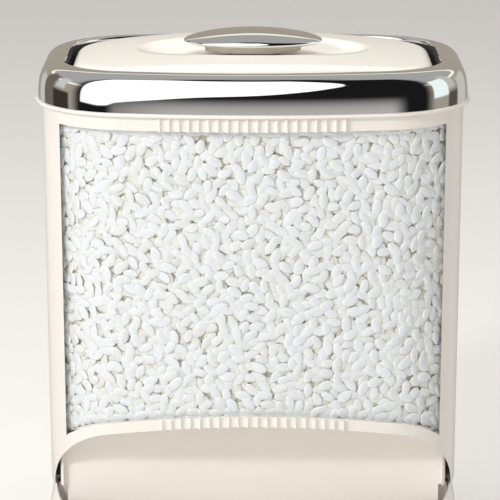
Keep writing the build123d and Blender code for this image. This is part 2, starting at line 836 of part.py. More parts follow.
def make_knob_neck():
    """Oval neck that stands in the dish and carries the knob."""
    foot = Pos(0, 0, dish_z - 1) * Ellipse(neck_half_length, neck_half_width)
    head = Pos(0, 0, knob_z) * Ellipse(neck_half_length + neck_flare, neck_half_width + neck_flare)
    neck = loft([foot, head], ruled=True) & dish_bowl(-neck_play)
    for x, y in knob_screw_places:
        neck = neck - post(x, y, dish_z - 1, knob_z, screw_radius + part_gap)
    return neck


def make_lid_knob():
    """Pebble-shaped knob: a half section turned about the middle, then narrowed front to back."""
    widest_z = knob_z + knob_under
    top = widest_z + knob_dome
    seat = (knob_seat_half_length, knob_z)
    widest = (knob_half_length, widest_z)
    edges = [
        Line((0, knob_z), seat),
        rounded(seat, (knob_half_length, knob_z), widest, knob_under_fullness, knob_under_fullness),
        rounded(widest, (knob_half_length, top), (0, top), knob_edge_fullness, knob_top_fullness),
        Line((0, top), (0, knob_z)),
    ]
    turned = revolve(Plane.XZ * make_face(edges), Axis.Z)
    knob = scale(turned, by=(1, knob_half_width / knob_half_length, 1))
    for x, y in knob_screw_places:
        knob = knob - pilot(x, y, knob_z, knob_seat_z + knob_screw_length + pilot_spare)
    return knob


def make_knob_screws():
    """Screws from inside the lid up into the knob."""
    return screws_up(knob_screw_places, knob_seat_z, knob_screw_length)


parts = {
    "body_shell": make_body_shell,
    "window_pane": make_window_pane,
    "pane_frame": make_pane_frame,
    "chute_panel": make_chute_panel,
    "hopper_floor": make_hopper_floor,
    "base_plinth": make_base_plinth,
    "base_plate": make_base_plate,
    "rubber_feet": make_rubber_feet,
    "base_screws": make_base_screws,
    "shell_screws": make_shell_screws,
    "left_runner": make_left_runner,
    "right_runner": make_right_runner,
    "runner_screws": make_runner_screws,
    "drawer_front": make_drawer_front,
    "drawer_tray": make_drawer_tray,
    "drawer_screws": make_drawer_screws,
    "shutter_plate": make_shutter_plate,
    "shutter_screws": make_shutter_screws,
    "lid_ring": make_lid_ring,
    "lid_panel": make_lid_panel,
    "lid_cover": make_lid_cover,
    "lid_seal": make_lid_seal,
    "lid_screws": make_lid_screws,
    "knob_neck": make_knob_neck,
    "lid_knob": make_lid_knob,
    "knob_screws": make_knob_screws,
}

os.makedirs("parts", exist_ok=True)
for name, make in parts.items():
    shape = make()
    export_step(shape, f"parts/{name}.step")
    print(name, len(shape.solids()), round(shape.volume))
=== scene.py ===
import json
import math
import random

import bmesh
import bpy
from mathutils import Matrix, Vector
from mathutils.geometry import interpolate_bezier


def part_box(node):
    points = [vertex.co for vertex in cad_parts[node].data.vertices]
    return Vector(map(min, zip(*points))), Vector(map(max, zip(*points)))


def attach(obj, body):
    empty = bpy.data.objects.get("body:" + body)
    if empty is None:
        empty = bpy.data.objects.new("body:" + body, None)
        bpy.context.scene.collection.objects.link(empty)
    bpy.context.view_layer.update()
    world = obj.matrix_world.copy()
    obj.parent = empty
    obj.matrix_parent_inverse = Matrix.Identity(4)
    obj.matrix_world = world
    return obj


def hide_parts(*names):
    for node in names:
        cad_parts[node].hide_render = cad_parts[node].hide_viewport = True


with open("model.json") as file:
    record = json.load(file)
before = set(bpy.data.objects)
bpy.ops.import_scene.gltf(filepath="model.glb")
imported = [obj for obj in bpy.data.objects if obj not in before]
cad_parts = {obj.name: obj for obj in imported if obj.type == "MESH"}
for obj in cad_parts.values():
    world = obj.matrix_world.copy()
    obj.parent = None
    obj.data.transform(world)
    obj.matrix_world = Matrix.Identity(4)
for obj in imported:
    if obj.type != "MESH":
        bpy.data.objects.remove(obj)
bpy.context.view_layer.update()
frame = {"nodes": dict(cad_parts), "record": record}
nodes = frame["nodes"]

# Rice dispenser with drawer, in metres. The front faces -Y, and the body stands on z = 0.

shellLow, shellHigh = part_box("body_shell")
ringLow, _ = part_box("lid_ring")
panelLow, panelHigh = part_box("lid_panel")
knobLow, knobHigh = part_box("lid_knob")
lipZ = shellHigh.z
weld = 1e-6  # points closer than this are joined

# Plan of the lip: bowed front and back, straight sides and round corners, all drawn from the same centres
plan = {
    "halfWidth": shellHigh.x,
    "halfDepth": shellHigh.y,
    "corner": 0.060,
    "bow": 0.440,
    "draft": 0.00785,  # how much the body's walls lean in for each metre down
    "overhang": 0.0039,  # of the lip over the walls
    "bowSteps": 14,
    "cornerSteps": 44,
    "sideSteps": 5,
}
bowCentreY = plan["bow"] - plan["halfDepth"]
cornerX = plan["halfWidth"] - plan["corner"]
bowTurn = math.asin(cornerX / (plan["bow"] - plan["corner"]))
cornerY = (plan["bow"] - plan["corner"]) * math.cos(bowTurn) - bowCentreY


# Small tools for meshes


def roundedCorner(start, corner, end, fullness, steps):
    # points of a curve that leaves start and reaches end along the two sides of their corner
    start, corner, end = Vector(start), Vector(corner), Vector(end)
    leaving = start.lerp(corner, fullness[0])
    arriving = end.lerp(corner, fullness[1])
    return [tuple(point[:2]) for point in interpolate_bezier(start, leaving, arriving, end, steps)]


def closeSeams(bm):
    # and turn the faces outwards
    bmesh.ops.remove_doubles(bm, verts=bm.verts, dist=weld)
    bmesh.ops.recalc_face_normals(bm, faces=bm.faces)


def toObject(bm, name, smoothAngle=math.radians(40)):
    mesh = bpy.data.meshes.new(name)
    bm.to_mesh(mesh)
    bm.free()
    obj = bpy.data.objects.new(name, mesh)
    bpy.context.scene.collection.objects.link(obj)
    for polygon in mesh.polygons:
        polygon.use_smooth = True
    mesh.set_sharp_from_angle(angle=smoothAngle)
    return obj


def sweepRoundPlan(profile, closed=True):
    # profile: (inset from the lip's plan, height) pairs, carried once round the plan
    bm = bmesh.new()
    verts = [bm.verts.new((0, inset - plan["halfDepth"], z)) for inset, z in profile]
    edges = [bm.edges.new(pair) for pair in zip(verts, verts[1:])]
    if closed:
        edges.append(bm.edges.new((verts[-1], verts[0])))
    arcs = (
        ((0, bowCentreY, 0), bowTurn, plan["bowSteps"]),
        ((cornerX, -cornerY, 0), math.pi / 2 - bowTurn, plan["cornerSteps"]),
    )
    last = verts + edges
    for centre, turn, steps in arcs:
        spun = bmesh.ops.spin(bm, geom=last, cent=centre, axis=(0, 0, 1), angle=turn, steps=steps)
        last = spun["geom_last"]
    for _ in range(plan["sideSteps"]):
        sideEdges = [item for item in last if isinstance(item, bmesh.types.BMEdge)]
        last = bmesh.ops.extrude_edge_only(bm, edges=sideEdges)["geom"]
        moved = [item for item in last if isinstance(item, bmesh.types.BMVert)]
        bmesh.ops.translate(bm, verts=moved, vec=(0, cornerY / plan["sideSteps"], 0))
    for axis in "YX":
        everything = bm.verts[:] + bm.edges[:] + bm.faces[:]
        bmesh.ops.mirror(bm, geom=everything, merge_dist=weld, axis=axis)
    closeSeams(bm)
    return bm


def spinOval(profile, halfLength, halfWidth, steps):
    # profile: (distance along X, height) pairs, turned about Z and squeezed to an oval
    bm = bmesh.new()
    verts = [bm.verts.new((x, 0, z)) for x, z in profile]
    edges = [bm.edges.new(pair) for pair in zip(verts, verts[1:])]
    bmesh.ops.spin(
        bm, geom=verts + edges, cent=(0, 0, 0), axis=(0, 0, 1), angle=math.tau, steps=steps, use_merge=True
    )
    closeSeams(bm)
    bmesh.ops.scale(bm, vec=(1, halfWidth / halfLength, 1), verts=bm.verts)
    return bm


# Small tools for materials


def addNode(tree, kind, sockets=None, **settings):
    # a socket gets a fixed value, or a link where the value is another node's output
    node = tree.nodes.new(kind)
    for key, value in settings.items():
        setattr(node, key, value)
    for key, value in (sockets or {}).items():
        if isinstance(value, bpy.types.NodeSocket):
            tree.links.new(value, node.inputs[key])
        else:
            node.inputs[key].default_value = value
    return node


def mixColour(tree, factor, first, second):
    # 6 and 7 are the Mix node's two colours, and its output 2 is their mix
    sockets = {"Factor": factor}
    for place, colour in ((6, first), (7, second)):
        sockets[place] = (*colour, 1) if isinstance(colour, tuple) else colour
    return addNode(tree, "ShaderNodeMix", sockets, data_type="RGBA").outputs[2]


def mixShaders(tree, factor, first, second):
    return addNode(tree, "ShaderNodeMixShader", {"Fac": factor, 1: first, 2: second}).outputs["Shader"]


def mapValue(tree, value, low, high):
    # a value from 0 to 1, spread from low to high
    sockets = {"Value": value, "To Min": low, "To Max": high}
    return addNode(tree, "ShaderNodeMapRange", sockets).outputs["Result"]


def smoothStep(tree, value, low, high):
    # 0 below low, 1 above high
    sockets = {"Value": value, "From Min": low, "From Max": high}
    return addNode(tree, "ShaderNodeMapRange", sockets, interpolation_type="SMOOTHSTEP").outputs["Result"]


def calculate(tree, operation, *values):
    return addNode(tree, "ShaderNodeMath", dict(enumerate(values)), operation=operation).outputs["Value"]


def makeMottleGroup():
    # Broad patches of tone and a fine grain, both from 0 to 1
    effects = {"Patch": 3.0, "Grain": 1.0}  # detail of each one's noise
    spread = (0.3, 0.7)
    group = bpy.data.node_groups.new("mottle", "ShaderNodeTree")
    group.interface.new_socket("Vector", in_out="INPUT", socket_type="NodeSocketVector")
    for effect in effects:
        group.interface.new_socket(effect + " Scale", in_out="INPUT", socket_type="NodeSocketFloat")
        group.interface.new_socket(effect, in_out="OUTPUT", socket_type="NodeSocketFloat")
    entry = addNode(group, "NodeGroupInput")
    results = {}
    for effect, detail in effects.items():
        sockets = {
            "Vector": entry.outputs["Vector"],
            "Scale": entry.outputs[effect + " Scale"],
            "Detail": detail,
        }
        cloud = addNode(group, "ShaderNodeTexNoise", sockets)
        results[effect] = smoothStep(group, cloud.outputs["Fac"], *spread)
    addNode(group, "NodeGroupOutput", results)
    return group


mottleGroup = makeMottleGroup()


def addMottle(tree, settings):
    place = addNode(tree, "ShaderNodeTexCoord")
    sockets = {"Vector": place.outputs["Object"], "Scale": settings.get("stretch", (1, 1, 1))}
    mapping = addNode(tree, "ShaderNodeMapping", sockets)
    sockets = {
        "Vector": mapping.outputs["Vector"],
        "Patch Scale": settings["patchScale"],
        "Grain Scale": settings["grainScale"],
    }
    return addNode(tree, "ShaderNodeGroup", sockets, node_tree=mottleGroup)


def startMaterial(name):
    material = bpy.data.materials.new(name)
    material.use_nodes = True
    material.node_tree.nodes.clear()
    return material, material.node_tree


def makeMoulded(name, settings):
    # Moulded plastic or rubber, or plated metal, by its settings
    material, tree = startMaterial(name)
    mottle = addMottle(tree, settings)
    patch = mottle.outputs["Patch"]
    roughFrom = mottle.outputs[settings.get("roughFrom", "Patch")]
    sockets = {
        "Base Color": mixColour(tree, patch, settings["colour"], settings["colourPatch"]),
        "Roughness": mapValue(tree, roughFrom, *settings["roughness"]),
        **settings.get("sockets", {}),
    }
    if "bump" in settings:
        strength, distance = settings["bump"]
        bump = {"Height": mottle.outputs["Grain"], "Strength": strength, "Distance": distance}
        sockets["Normal"] = addNode(tree, "ShaderNodeBump", bump).outputs["Normal"]
    shader = addNode(tree, "ShaderNodeBsdfPrincipled", sockets)
    addNode(tree, "ShaderNodeOutputMaterial", {"Surface": shader.outputs["BSDF"]})
    return material


finishes = {
    "cream_shell": {
        "colour": (0.87, 0.832, 0.785),
        "colourPatch": (0.866, 0.827, 0.779),
        "roughness": (0.29, 0.32),
        "patchScale": 9.0,
        "grainScale": 900.0,
        "bump": (0.06, 0.00004),
        "sockets": {"Coat Weight": 0.25, "Coat Roughness": 0.12},
    },
    "cream_lid": {
        "colour": (0.93, 0.90, 0.845),
        "colourPatch": (0.92, 0.885, 0.825),
        "roughness": (0.20, 0.26),
        "patchScale": 7.0,
        "grainScale": 800.0,
        "bump": (0.04, 0.00003),
        "sockets": {"Coat Weight": 0.3, "Coat Roughness": 0.08},
    },
    "cream_inner": {
        "colour": (0.92, 0.872, 0.825),
        "colourPatch": (0.91, 0.858, 0.805),
        "roughness": (0.45, 0.55),
        "patchScale": 12.0,
        "grainScale": 1100.0,
        "bump": (0.12, 0.00006),
    },
    "bright_chrome": {
        "colour": (0.90, 0.895, 0.885),
        "colourPatch": (0.87, 0.865, 0.86),
        "roughness": (0.015, 0.035),
        "patchScale": 16.0,
        "grainScale": 600.0,
        "sockets": {"Metallic": 1.0},
    },
    "satin_neck": {
        "colour": (0.60, 0.555, 0.50),
        "colourPatch": (0.54, 0.495, 0.44),
        "roughness": (0.24, 0.38),
        "roughFrom": "Grain",
        "patchScale": 60.0,
        "grainScale": 300.0,
        "stretch": (1, 1, 14),
        "bump": (0.10, 0.00004),
        "sockets": {"Metallic": 1.0},
    },
    "base_grey": {
        "colour": (0.50, 0.49, 0.475),
        "colourPatch": (0.47, 0.46, 0.445),
        "roughness": (0.42, 0.52),
        "patchScale": 14.0,
        "grainScale": 1200.0,
        "bump": (0.15, 0.00006),
    },
    "rubber": {
        "colour": (0.020, 0.020, 0.021),
        "colourPatch": (0.034, 0.033, 0.032),
        "roughness": (0.62, 0.80),
        "patchScale": 40.0,
        "grainScale": 1500.0,
        "bump": (0.25, 0.00008),
    },
    "seal_rubber": {
        "colour": (0.78, 0.78, 0.76),
        "colourPatch": (0.73, 0.73, 0.70),
        "roughness": (0.50, 0.62),
        "patchScale": 30.0,
        "grainScale": 1200.0,
        "bump": (0.15, 0.00006),
    },
    "steel_screw": {
        "colour": (0.58, 0.58, 0.57),
        "colourPatch": (0.47, 0.47, 0.465),
        "roughness": (0.22, 0.42),
        "roughFrom": "Grain",
        "patchScale": 90.0,
        "grainScale": 700.0,
        "bump": (0.12, 0.00005),
        "sockets": {"Metallic": 1.0},
    },
}
materials = {name: makeMoulded(name, settings) for name, settings in finishes.items()}


def makeClearPane():
    # Clear moulding. Shadow rays and diffuse rays pass straight through it, so that what lies behind
    # is lit as if the pane weren't there.
    pane = {
        "tint": (0.985, 0.995, 0.99, 1),
        "ior": 1.10,
        "roughness": (0.0, 0.015),
        "patchScale": 11.0,
        "grainScale": 400.0,
    }
    material, tree = startMaterial("clear_pane")
    mottle = addMottle(tree, pane)
    sockets = {
        "Base Color": pane["tint"],
        "Roughness": mapValue(tree, mottle.outputs["Patch"], *pane["roughness"]),
        "IOR": pane["ior"],
        "Transmission Weight": 1.0,
    }
    shader = addNode(tree, "ShaderNodeBsdfPrincipled", sockets)
    clear = addNode(tree, "ShaderNodeBsdfTransparent")
    path = addNode(tree, "ShaderNodeLightPath").outputs
    through = calculate(tree, "MAXIMUM", path["Is Shadow Ray"], path["Is Diffuse Ray"])
    surface = mixShaders(tree, through, shader.outputs["BSDF"], clear.outputs["BSDF"])
    addNode(tree, "ShaderNodeOutputMaterial", {"Surface": surface})
    return material


materials["clear_pane"] = makeClearPane()

slots = {part["node"]: part["material_slot"] for part in frame["record"]["subparts"]}
for node, obj in nodes.items():
    obj.data.materials.clear()
    obj.data.materials.append(materials[slots[node]])
print("materials on the CAD nodes:", len(nodes))


def dress(obj, finish, body):
    # the rice is contents, so its finish has no slot
    obj.data.materials.append(materials[finish])
    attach(obj, body)


# Lid ring

ring = {
    "inset": 0.0015,
    "height": 0.0223,
    "fullness": (0.60, 0.90),  # of the outer face's one curve: near the upright, then near the level
    "band": 0.0165,
    "innerRound": 0.0020,
    "innerLow": 0.0040,  # lower end of the inner wall, above the ring's foot
    "wall": 0.0024,
    "outerSteps": 48,
    "innerSteps": 12,
    "underSteps": 16,
}


def makeLidRing():
    low = ringLow.z
    high = low + ring["height"]
    outside = ring["inset"]
    inside = outside + ring["band"]
    turn = ring["innerRound"]
    crest = inside - turn
    outerFace = (outside, low), (outside, high), (crest, high)
    profile = roundedCorner(*outerFace, ring["fullness"], ring["outerSteps"])
    for step in range(1, ring["innerSteps"] + 1):
        angle = math.pi / 2 * (1 - step / ring["innerSteps"])
        profile.append((crest + turn * math.cos(angle), high - turn + turn * math.sin(angle)))
    profile.append((inside, low + ring["innerLow"]))
    # and back along the underside, one wall further in
    outside += ring["wall"]
    inside -= ring["wall"]
    high -= ring["wall"]
    profile.append((inside, low + ring["innerLow"]))
    underside = (inside, high), (outside, high), (outside, low)
    profile += roundedCorner(*underside, ring["fullness"][::-1], ring["underSteps"])
    obj = toObject(sweepRoundPlan(profile), "lidRing")
    dress(obj, "bright_chrome", "lid")
    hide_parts("lid_ring")
    print("lid ring:", len(obj.data.polygons), "faces")


makeLidRing()


# Domed panel inside the ring, with its oval dish


def makeLidPanel():
    panel = {
        "inset": 0.0218,
        "crown": 0.900,  # radius of the dome
        "edge": 0.0060,  # round all along its rim
        "dish": (0.069, 0.039, 0.0056),  # half length, half width and depth
        "dishPower": 12.0,  # the higher, the steeper its wall and the flatter its middle
        "wall": 0.0024,
        "edgeSteps": 10,
        "flatSteps": 9,
        "dishSteps": 16,
    }
    halfLength, halfWidth, depth = panel["dish"]
    foot, top, edge = panelLow.z, panelHigh.z, panel["edge"]
    aboveFoot = foot + 0.0001

    def surface(x, y):
        share = min(1, math.hypot(x / halfLength, y / halfWidth))
        return top - (x * x + y * y) / (2 * panel["crown"]) - depth * (1 - share ** panel["dishPower"])

    profile = [(panel["inset"], foot), (panel["inset"], top - edge)]
    for step in range(1, panel["edgeSteps"] + 1):
        angle = math.pi / 2 * step / panel["edgeSteps"]
        profile.append((panel["inset"] + edge * (1 - math.cos(angle)), top - edge * (1 - math.sin(angle))))
    bm = sweepRoundPlan(profile, closed=False)
    for vert in bm.verts:
        if vert.co.z > aboveFoot:
            vert.co.z += surface(vert.co.x, vert.co.y) - top
    loop = [item for item in bm.edges if item.is_boundary and min(v.co.z for v in item.verts) > aboveFoot]
    starts = {}  # where each line of points from the edge to the middle begins, by its direction
    for step in range(1, panel["flatSteps"] + panel["dishSteps"]):
        grown = bmesh.ops.extrude_edge_only(bm, edges=loop)["geom"]
        loop = [item for item in grown if isinstance(item, bmesh.types.BMEdge)]
        for vert in (item for item in grown if isinstance(item, bmesh.types.BMVert)):
            direction = math.atan2(vert.co.y, vert.co.x)
            if step == 1:
                starts[round(direction, 5)] = vert.co.copy()
            start = starts[min(starts, key=lambda other: abs(other - direction))]
            turn = math.atan2(start.y / halfWidth, start.x / halfLength)
            rim = Vector((halfLength * math.cos(turn), halfWidth * math.sin(turn), 0))
            if step <= panel["flatSteps"]:
                x, y, _ = start.lerp(rim, step / panel["flatSteps"])
            else:
                x, y, _ = rim * (1 - (step - panel["flatSteps"]) / panel["dishSteps"])
            vert.co = (x, y, surface(x, y))
    bmesh.ops.contextual_create(bm, geom=loop)
    bmesh.ops.recalc_face_normals(bm, faces=bm.faces)
    obj = toObject(bm, "lidPanel", math.radians(50))
    wall = obj.modifiers.new("wall", "SOLIDIFY")
    wall.thickness = panel["wall"]
    wall.offset = -1
    dress(obj, "cream_lid", "lid")
    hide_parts("lid_panel")
    print("lid panel:", len(obj.data.polygons), "faces")


makeLidPanel()


def makeGapShadeLiner():
    # black strip in the channel between the ring and the panel: a dark sheet that stands in for the painted
    # shade deep in the channel
    liner = {
        "outer": 0.0181,  # inset of its wall beside the ring
        "inner": 0.0216,  # inset of its floor's end beside the panel
        "thickness": 0.0005,
        "under": 0.0023,  # how far it stays below the ring's top
        "floor": 0.0050,
    }
    high = ringLow.z + ring["height"] - liner["under"]
    low = ringLow.z + liner["floor"]
    outer, inner, thickness = liner["outer"], liner["inner"], liner["thickness"]
    profile = [(outer, high), (outer, low), (inner, low), (inner, low + thickness)]
    profile += [(outer + thickness, low + thickness), (outer + thickness, high)]
    obj = toObject(sweepRoundPlan(profile), "gapShadeLiner")
    # black rubber here is painted shade for the channel
    dress(obj, "rubber", "lid")
    print("gap liner:", len(obj.data.polygons), "faces")


makeGapShadeLiner()


# Knob


def makeKnob():
    knob = {
        "seat": 0.031,  # half length of its flat seat
        "sink": 0.0012,  # how far its underside reaches down over the neck
        "under": 0.0024,  # underside to its widest level
        "domeFullness": (0.48, 0.44),  # near the top, then near the widest level
        "underFullness": (0.55, 0.55),
        "domeSteps": 40,
        "underSteps": 12,
        "around": 144,
    }
    low, high = knobLow.z - knob["sink"], knobHigh.z
    halfLength = knobHigh.x
    widest = low + knob["under"]
    dome = (0, high), (halfLength, high), (halfLength, widest)
    under = (halfLength, widest), (halfLength, low), (knob["seat"], low)
    profile = roundedCorner(*dome, knob["domeFullness"], knob["domeSteps"])
    profile += roundedCorner(*under, knob["underFullness"], knob["underSteps"])[1:]
    profile.append((0, low))
    obj = toObject(spinOval(profile, halfLength, knobHigh.y, knob["around"]), "knobPebble")
    dress(obj, "bright_chrome", "lid")
    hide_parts("lid_knob")
    print("knob:", len(obj.data.polygons), "faces")


makeKnob()


# Where things lie on the body's front


def insetAt(z):
    # of the walls' face from the lip's plan
    return plan["overhang"] + (lipZ - z) * plan["draft"]


def frontPlace(along, inset, turnLimit=math.pi / 2):
    # point and outward turn on the front of the plan, by the distance along it from the middle,
    # and straight on once it has turned as far as the limit
    side = 1 if along >= 0 else -1
    length = abs(along)
    radius = plan["bow"] - inset
    bowLength = bowTurn * radius
    if length <= bowLength:
        turn = length / radius
        return side * radius * math.sin(turn), bowCentreY - radius * math.cos(turn), side * turn
    radius = plan["corner"] - inset
    turn = min(turnLimit, bowTurn + (length - bowLength) / radius)
    rest = length - bowLength - radius * (turn - bowTurn)
    x = cornerX + radius * math.sin(turn) + rest * math.cos(turn)
    return side * x, -cornerY - radius * math.cos(turn) + rest * math.sin(turn), side * turn


arch = {
    "halfWidth": 0.121,
    "rise": 0.0491,  # of its crown above the foot of the shell
    "crown": 0.530,  # radius of the middle
    "side": 0.041,  # radius of both ends
}


def archTop(x):
    # height of the arch's edge
    crownZ = shellLow.z + arch["rise"] - arch["crown"]
    sideX = arch["halfWidth"] - arch["side"]
    reach = arch["crown"] - arch["side"]
    sideZ = crownZ + math.sqrt(reach**2 - sideX**2)
    if abs(x) <= arch["crown"] * sideX / reach:
        return crownZ + math.sqrt(arch["crown"] ** 2 - x * x)
    return sideZ + math.sqrt(max(0, arch["side"] ** 2 - (abs(x) - sideX) ** 2))


# Fluted bands over and under the window


def makeFlutes():
    flutes = {
        "count": 20,  # with half a flute at either end of a band
        "pitch": 0.0057,
        "radius": 0.0029,
        "depth": 0.0023,
        "proud": 0.0026,  # of the ridges before the walls
        "sunk": 0.0012,  # how far a band's skirt reaches into the walls
        "underLip": 0.0103,  # foot of the top band
        "topHeight": 0.0080,
        "overArch": 0.0004,  # foot of the low band
        "lowHeight": 0.0058,
        "perFlute": 10,
    }
    halfLength = flutes["count"] * flutes["pitch"] / 2
    shift = (flutes["count"] % 2 + 1) / 2
    for name in ("fluteBandTop", "fluteBandLow"):
        bm = bmesh.new()
        bmesh.ops.create_grid(bm, x_segments=flutes["count"] * flutes["perFlute"], y_segments=2, size=1)
        border = [edge for edge in bm.edges if edge.is_boundary]
        skirt = bmesh.ops.extrude_edge_only(bm, edges=border)["geom"]
        skirt = {item for item in skirt if isinstance(item, bmesh.types.BMVert)}
        for vert in bm.verts:
            along = vert.co.x * halfLength
            across = (along / flutes["pitch"] + shift) % 1 - 0.5
            hollow = math.sqrt(flutes["radius"] ** 2 - (across * flutes["pitch"]) ** 2)
            proud = flutes["proud"] - max(0, hollow - flutes["radius"] + flutes["depth"])
            if vert in skirt:
                proud = -flutes["sunk"]
            share = (vert.co.y + 1) / 2
            if name == "fluteBandTop":
                z = lipZ - flutes["underLip"] + share * flutes["topHeight"]
            else:
                z = archTop(along) + flutes["overArch"] + share * flutes["lowHeight"]
            x, y, _ = frontPlace(along, insetAt(z) - proud)
            vert.co = (x, y, z)
        bmesh.ops.recalc_face_normals(bm, faces=bm.faces)
        dress(toObject(bm, name, math.radians(30)), "cream_shell", "housing")
    print("flutes:", flutes["count"], "in each band")


makeFlutes()


# Rice in the hopper


def makeRiceMaterial():
    # the grains' points say how near they are to a grain's rim and how deep in the heap they lie: the rim gets
    # a painted highlight that stands in for light through its thin edge, and the deep grains a painted shade
    rice = {
        "core": (0.735, 0.765, 0.81),
        # painted rim highlight: the grains' edges made lighter, standing in for light shining through them
        "rim": (0.95, 0.95, 0.935),
        # painted shade: the colour of grains deep in the heap, where little light reaches
        "deepShade": (0.71, 0.68, 0.56),
        "roughness": (0.30, 0.45),
        "specular": 0.3,
        "patchScale": 300.0,
        "grainScale": 900.0,
    }
    material, tree = startMaterial("rice")
    mottle = addMottle(tree, rice)
    rim = addNode(tree, "ShaderNodeAttribute", attribute_name="rim")
    depth = addNode(tree, "ShaderNodeAttribute", attribute_name="depth")
    # painted rim highlight, mixed in towards each grain's edge
    body = mixColour(tree, rim.outputs["Fac"], rice["core"], rice["rim"])
    sockets = {
        # grains further back are mixed towards the painted shade
        "Base Color": mixColour(tree, depth.outputs["Fac"], body, rice["deepShade"]),
        "Roughness": mapValue(tree, mottle.outputs["Patch"], *rice["roughness"]),
        "Specular IOR Level": rice["specular"],
    }
    shader = addNode(tree, "ShaderNodeBsdfPrincipled", sockets)
    addNode(tree, "ShaderNodeOutputMaterial", {"Surface": shader.outputs["BSDF"]})
    return material


materials["rice"] = makeRiceMaterial()

heap = {
    "paneDepth": 0.0050,  # front of the rice behind the shell's face
    "wallDepth": 0.0085,  # rice to the shell's face all round
    "archLift": 0.0047,  # lowest rice above the arch, on the roof of the recess
    "footAlong": 0.117,  # how far it runs to each side down there
    "footLevel": 0.1,  # where the walls' lean is taken for the row along the foot
    "low": 0.06,  # grains are scattered from here to the top
    "top": 0.2770,
    "overTop": 0.004,  # how far a grain may stand above it
    "bed": 0.0080,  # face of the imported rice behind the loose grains
    "bedUnder": 0.002,  # packed rice below the top
    "bedSteps": 60,
    "turnLimit": math.radians(46),  # the rice runs straight on to the side walls from there
    "halfAlong": 0.134,
}

grain = {
    "length": 0.0095,
    "width": 0.0061,
    "thickness": 0.0015,
    "facets": 8,
    "shapes": 7,
    "bend": 0.05,
    "chip": 0.16,  # at most, off one side of an end
    "chipFrom": 0.5,
    "taper": (0.02, 0.12),
    # how tightly the painted rim highlight gathers at a grain's edge
    "rimHighlightPower": 2.0,
    "spread": 0.12,  # how much sizes differ
    "layers": 5,
    "topLayers": 2,
    "layerStep": 0.0007,
    # painted shade added for each layer further back
    "layerShade": 0.24,
    "darkSpread": 0.16,
    # painted shade for the second layer over the top
    "topLayerShade": 0.3,
    "topDarkSpread": 0.2,
    "spacing": 0.0048,
    "edgeStep": 0.0056,  # in the rows along the foot and the top
    "edgeJitter": 0.3,  # share of a step
    "edgeLie": 0.3,  # how far they turn out of the row, in radians
    "tries": 9000,
    "jitter": 0.0007,
    "tip": 0.08,
    "perPiece": 1500,
}


def makeGrainShapes():
    # a few grains, each a squeezed and bent sphere with a chipped end
    shapes = []
    for number in range(grain["shapes"]):
        bm = bmesh.new()
        bmesh.ops.create_uvsphere(bm, u_segments=grain["facets"], v_segments=grain["facets"], radius=0.5)
        bmesh.ops.rotate(bm, cent=(0, 0, 0), matrix=Matrix.Rotation(math.pi / 2, 3, "Y"), verts=bm.verts)
        bend = random.uniform(-grain["bend"], grain["bend"])
        chip = random.uniform(0.0, grain["chip"])
        taper = random.uniform(*grain["taper"])
        for vert in bm.verts:
            end = vert.co.x * 2
            vert.co.y *= 1 - taper * end
            vert.co.y += bend * (1 - end * end)
            if end > grain["chipFrom"] and vert.co.y > 0:
                vert.co.y -= chip * (end - grain["chipFrom"])
        size = (grain["length"], grain["width"], grain["thickness"])
        bmesh.ops.scale(bm, vec=size, verts=bm.verts)
        mesh = bpy.data.meshes.new(f"grain{number}")
        bm.to_mesh(mesh)
        bm.free()
        # rim: 1 at the grain's flat outline, 0 on its faces; it weights the painted rim highlight
        rim = mesh.attributes.new("rim", "FLOAT", "POINT")
        for vert in mesh.vertices:
            flat = abs(vert.co.z) / (grain["thickness"] / 2)
            rim.data[vert.index].value = (1 - flat) ** grain["rimHighlightPower"]
        mesh.attributes.new("depth", "FLOAT", "POINT")
        shapes.append(mesh)
    return shapes


def addGrain(bm, shape, place, depth):
    copy = shape.copy()
    copy.transform(place)
    # depth here is the grain's painted shade with a random tone
    copy.attributes["depth"].data.foreach_set("value", [depth] * len(copy.vertices))
    bm.from_mesh(copy)
    bpy.data.meshes.remove(copy)


def scatter(halfAlong, low, high):
    # random places that keep apart from each other
    spacing = grain["spacing"]
    taken = {}
    places = []
    for _ in range(grain["tries"]):
        along = random.uniform(-halfAlong, halfAlong)
        up = random.uniform(low, high)
        cell = (int(along // spacing), int(up // spacing))
        near = [
            other
            for dx in (-1, 0, 1)
            for dy in (-1, 0, 1)
            for other in taken.get((cell[0] + dx, cell[1] + dy), ())
        ]
        if all(math.hypot(along - x, up - y) >= spacing for x, y in near):
            taken.setdefault(cell, []).append((along, up))
            places.append((along, up))
    return places


def randomTip(axis):
    return Matrix.Rotation(random.gauss(0, grain["tip"]), 4, axis)


